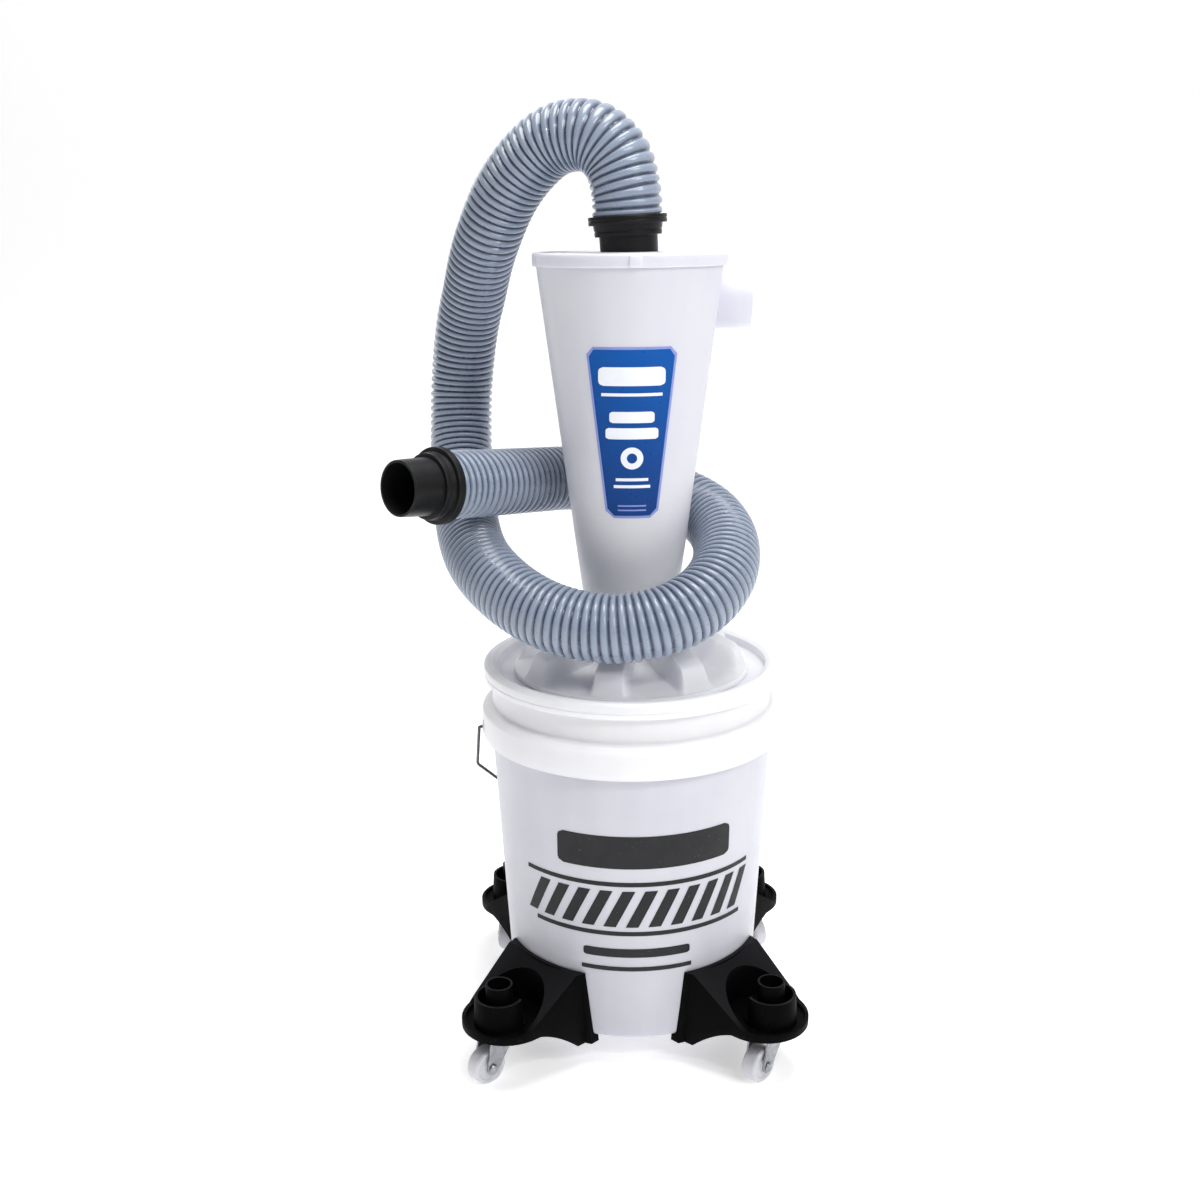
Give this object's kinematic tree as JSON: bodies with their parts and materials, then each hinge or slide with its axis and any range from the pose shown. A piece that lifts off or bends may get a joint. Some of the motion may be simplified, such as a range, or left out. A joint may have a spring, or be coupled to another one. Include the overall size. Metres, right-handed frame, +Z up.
{
  "type": "dust collector",
  "caption": "Cyclone dust separator bolted to the lid of a wheeled pail, with a ribbed hose looped round its cone.",
  "frame": {"origin": "on the floor under the pail's axis", "axes": "+Z up along the pail's axis, +X to the right along the inlet pipe, -Y to the front"},
  "size_m": [0.4259, 0.3752, 0.9691],
  "materials": {
    "natural_plastic": "translucent satin",
    "black_plastic": "satin",
    "hose_vinyl": "translucent gloss",
    "wheel_nylon": "satin",
    "zinc_plate": "zinc plated",
    "dark_wire": "dark oxide",
    "foam_rubber": "matt"
  },
  "bodies": {
    "pail_body": {"pail": "natural_plastic", "caster_foot_rear_right": "black_plastic", "caster_foot_rear_left": "black_plastic", "caster_foot_front_left": "black_plastic", "caster_foot_front_right": "black_plastic", "foot_screw_rear_right_1": "zinc_plate", "foot_screw_rear_right_2": "zinc_plate", "foot_screw_rear_left_1": "zinc_plate", "foot_screw_rear_left_2": "zinc_plate", "foot_screw_front_left_1": "zinc_plate", "foot_screw_front_left_2": "zinc_plate", "foot_screw_front_right_1": "zinc_plate", "foot_screw_front_right_2": "zinc_plate", "caster_stem_rear_right": "zinc_plate", "caster_stem_rear_left": "zinc_plate", "caster_stem_front_left": "zinc_plate", "caster_stem_front_right": "zinc_plate"},
    "swivel_rear_right": {"caster_fork_rear_right": "zinc_plate", "caster_axle_rear_right": "zinc_plate"},
    "wheel_rear_right": {"caster_wheel_rear_right": "wheel_nylon"},
    "swivel_rear_left": {"caster_fork_rear_left": "zinc_plate", "caster_axle_rear_left": "zinc_plate"},
    "wheel_rear_left": {"caster_wheel_rear_left": "wheel_nylon"},
    "swivel_front_left": {"caster_fork_front_left": "zinc_plate", "caster_axle_front_left": "zinc_plate"},
    "wheel_front_left": {"caster_wheel_front_left": "wheel_nylon"},
    "swivel_front_right": {"caster_fork_front_right": "zinc_plate", "caster_axle_front_right": "zinc_plate"},
    "wheel_front_right": {"caster_wheel_front_right": "wheel_nylon"},
    "bail": {"bail_wire": "dark_wire", "bail_grip": "black_plastic"},
    "separator": {"pail_lid": "natural_plastic", "lid_seal": "foam_rubber", "cyclone_cone": "natural_plastic", "flange_seal": "foam_rubber", "flange_bolt_1": "zinc_plate", "flange_bolt_2": "zinc_plate", "flange_bolt_3": "zinc_plate", "flange_bolt_4": "zinc_plate", "flange_bolt_5": "zinc_plate", "flange_bolt_6": "zinc_plate", "flange_bolt_7": "zinc_plate", "flange_bolt_8": "zinc_plate", "cyclone_cap": "natural_plastic", "vortex_tube": "natural_plastic", "hose": "hose_vinyl", "outlet_cuff": "black_plastic", "free_cuff": "black_plastic"}
  },
  "joints": [
    {"name": "swivel_rear_right_turn", "type": "hinge", "parent": "pail_body", "child": "swivel_rear_right", "pos_m": [0.1393, 0.1393, 0.05], "axis": [0, 0, 1], "continuous": true},
    {"name": "wheel_rear_right_spin", "type": "hinge", "parent": "swivel_rear_right", "child": "wheel_rear_right", "pos_m": [0.14937, 0.12319, 0.019], "axis": [0.848, 0.5299, 0], "continuous": true},
    {"name": "swivel_rear_left_turn", "type": "hinge", "parent": "pail_body", "child": "swivel_rear_left", "pos_m": [-0.1393, 0.1393, 0.05], "axis": [0, 0, 1], "continuous": true},
    {"name": "wheel_rear_left_spin", "type": "hinge", "parent": "swivel_rear_left", "child": "wheel_rear_left", "pos_m": [-0.1458, 0.12145, 0.019], "axis": [0.9397, -0.342, 0], "continuous": true},
    {"name": "swivel_front_left_turn", "type": "hinge", "parent": "pail_body", "child": "swivel_front_left", "pos_m": [-0.1393, -0.1393, 0.05], "axis": [0, 0, 1], "continuous": true},
    {"name": "wheel_front_left_spin", "type": "hinge", "parent": "swivel_front_left", "child": "wheel_front_left", "pos_m": [-0.15385, -0.15151, 0.019], "axis": [0.6428, -0.766, 0], "continuous": true},
    {"name": "swivel_front_right_turn", "type": "hinge", "parent": "pail_body", "child": "swivel_front_right", "pos_m": [0.1393, -0.1393, 0.05], "axis": [0, 0, 1], "continuous": true},
    {"name": "wheel_front_right_spin", "type": "hinge", "parent": "swivel_front_right", "child": "wheel_front_right", "pos_m": [0.12634, -0.1532, 0.019], "axis": [0.7314, -0.682, 0], "continuous": true},
    {"name": "bail_swing", "type": "hinge", "parent": "pail_body", "child": "bail", "pos_m": [0, 0, 0.341], "axis": [0.989, 0.1478, 0], "range_deg": [0, 95]},
    {"name": "lid_lift", "type": "slide", "parent": "pail_body", "child": "separator", "axis": [0, 0, 1], "range_m": [0, 0.3]}
  ]
}
